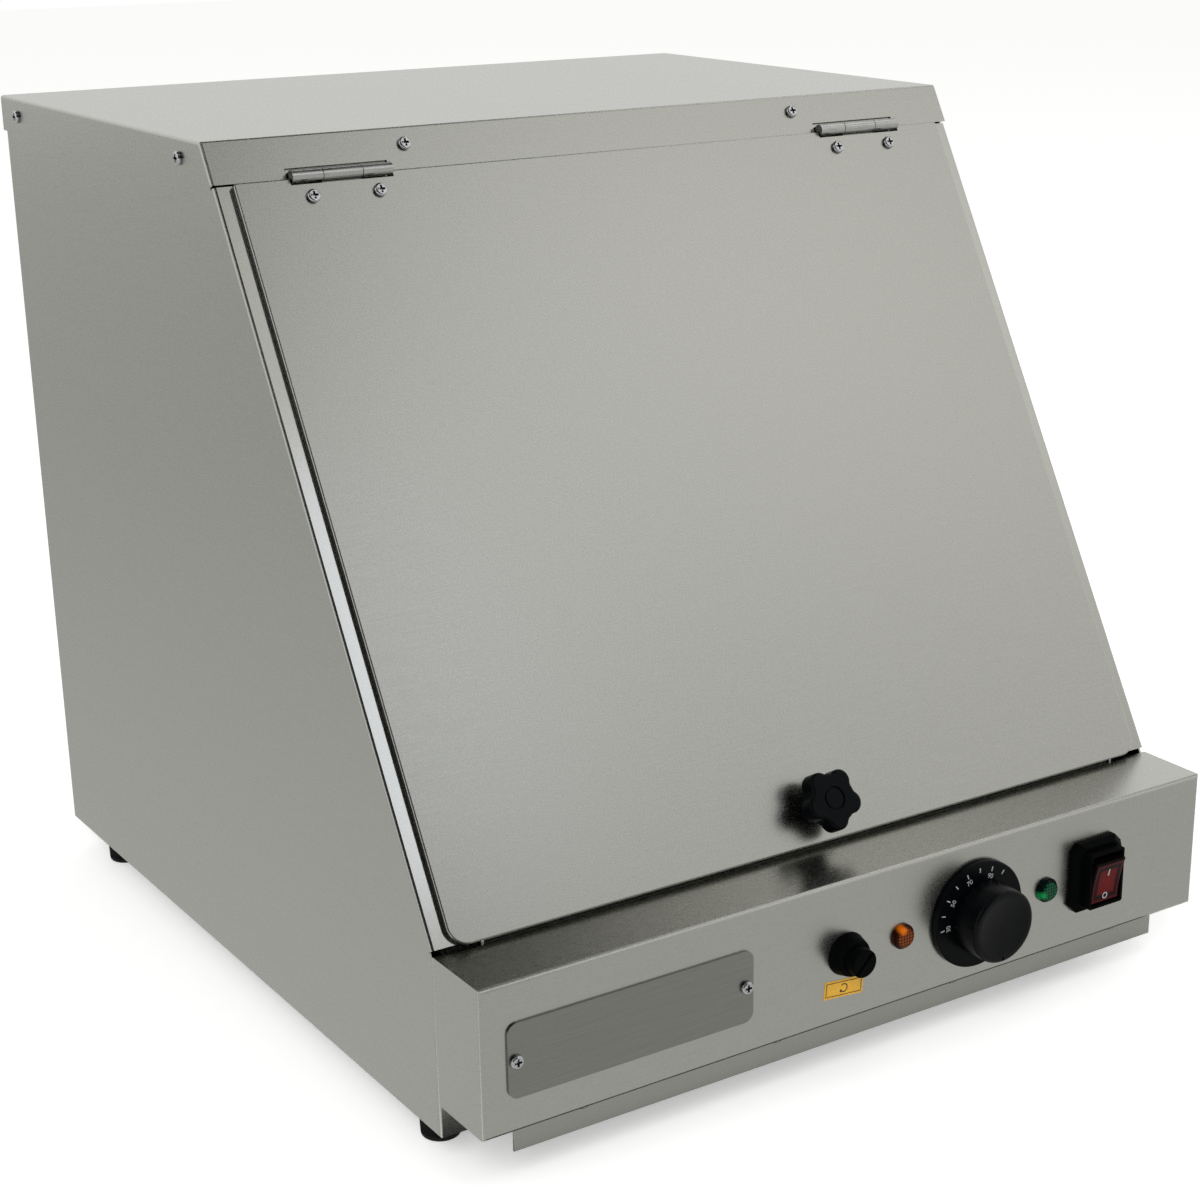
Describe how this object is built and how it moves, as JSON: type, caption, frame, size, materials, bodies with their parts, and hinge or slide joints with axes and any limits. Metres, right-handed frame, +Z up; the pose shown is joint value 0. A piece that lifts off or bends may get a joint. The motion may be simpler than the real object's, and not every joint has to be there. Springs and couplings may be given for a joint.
{
  "type": "chip scuttle",
  "caption": "Heated counter-top chip scuttle: stainless cabinet with a sloping hinged lid, perforated chip pan, pull-out crumb tray and a front control console.",
  "frame": {"origin": "on the floor under the middle of the whole part, from the front of the dial to the back of the cable gland", "axes": "+Z up, -Y out of the front towards the user, +X to the right as the user faces the controls"},
  "size_m": [0.5072, 0.6022, 0.512],
  "materials": {
    "stainless_sheet": "satin rolled sheet",
    "pan_steel": "plain mill sheet",
    "tray_steel": "satin rolled sheet",
    "hinge_steel": "polished",
    "screw_steel": "bright",
    "spring_steel": "plain",
    "element_sheath": "heat darkened",
    "copper_tube": "drawn copper",
    "brass_nut": "turned",
    "black_plastic": "moulded, low gloss",
    "black_nylon": "moulded",
    "phenolic": "moulded",
    "ivory_nylon": "moulded",
    "amber_plastic": "translucent, ribbed",
    "green_plastic": "translucent, ribbed",
    "red_plastic": "translucent",
    "black_rubber": "moulded",
    "yellow_label": "printed film"
  },
  "bodies": {
    "cabinet": {"amber_holder": "black_plastic", "amber_lens": "amber_plastic", "back_panel": "stainless_sheet", "base_pan": "stainless_sheet", "blank_plate": "stainless_sheet", "bulb_clips": "spring_steel", "cable_gland": "black_nylon", "console_floor": "stainless_sheet", "console_housing": "stainless_sheet", "console_screws": "screw_steel", "control_bulb": "copper_tube", "cover_screws": "screw_steel", "element_nuts": "brass_nut", "element_supports": "pan_steel", "element_terminals": "screw_steel", "feet": "black_rubber", "fixed_leaves": "hinge_steel", "foot_nuts": "screw_steel", "foot_screws": "screw_steel", "front_panel": "stainless_sheet", "gland_nut": "black_nylon", "green_holder": "black_plastic", "green_lens": "green_plastic", "header": "stainless_sheet", "heat_shield": "pan_steel", "heating_element": "element_sheath", "hinge_pins": "hinge_steel", "leaf_rivets": "screw_steel", "left_side": "stainless_sheet", "limiter_body": "phenolic", "limiter_bulb": "copper_tube", "pan_rails": "pan_steel", "plate_screws": "screw_steel", "reset_collar": "black_plastic", "reset_label": "yellow_label", "right_side": "stainless_sheet", "switch_frame": "black_plastic", "terminal_block": "ivory_nylon", "thermostat_body": "phenolic", "thermostat_screws": "screw_steel", "top_cover": "stainless_sheet", "tray_runners": "pan_steel"},
    "lid": {"lid_panel": "stainless_sheet", "lid_liner": "pan_steel", "lid_leaves": "hinge_steel", "hinge_screws": "screw_steel", "star_knob": "black_plastic", "knob_cap": "black_plastic", "knob_stud": "screw_steel", "knob_nut": "screw_steel"},
    "dial": {"dial_shaft": "screw_steel", "dial_skirt": "black_plastic", "dial_grip": "black_plastic"},
    "rocker": {"rocker": "red_plastic"},
    "reset_cap": {"reset_cap": "black_plastic"},
    "reset_button": {"reset_button": "red_plastic"},
    "crumb_tray": {"crumb_tray": "tray_steel"},
    "chip_pan": {"chip_pan": "pan_steel"}
  },
  "joints": [
    {"name": "lid_hinge", "type": "hinge", "parent": "cabinet", "child": "lid", "pos_m": [0, -0.02462, 0.49209], "axis": [-1, 0, 0], "range_deg": [0, 170]},
    {"name": "dial_turn", "type": "hinge", "parent": "cabinet", "child": "dial", "pos_m": [0.074, -0.27625, 0.083], "axis": [0, 1, 0], "range_deg": [0, 270]},
    {"name": "rocker_tip", "type": "hinge", "parent": "cabinet", "child": "rocker", "pos_m": [0.1645, -0.28025, 0.085], "axis": [-1, 0, 0], "range_deg": [0, 20]},
    {"name": "reset_cap_off", "type": "slide", "parent": "cabinet", "child": "reset_cap", "axis": [0, -1, 0], "range_m": [0, 0.02]},
    {"name": "reset_press", "type": "slide", "parent": "cabinet", "child": "reset_button", "axis": [0, 1, 0], "range_m": [0, 0.002], "stiffness_N_per_m": 200, "springref_m": -0.002},
    {"name": "crumb_tray_out", "type": "slide", "parent": "cabinet", "child": "crumb_tray", "axis": [0, -1, 0], "range_m": [0, 0.42]},
    {"name": "chip_pan_lift", "type": "slide", "parent": "cabinet", "child": "chip_pan", "axis": [0, 0, 1], "range_m": [0, 0.015]}
  ]
}
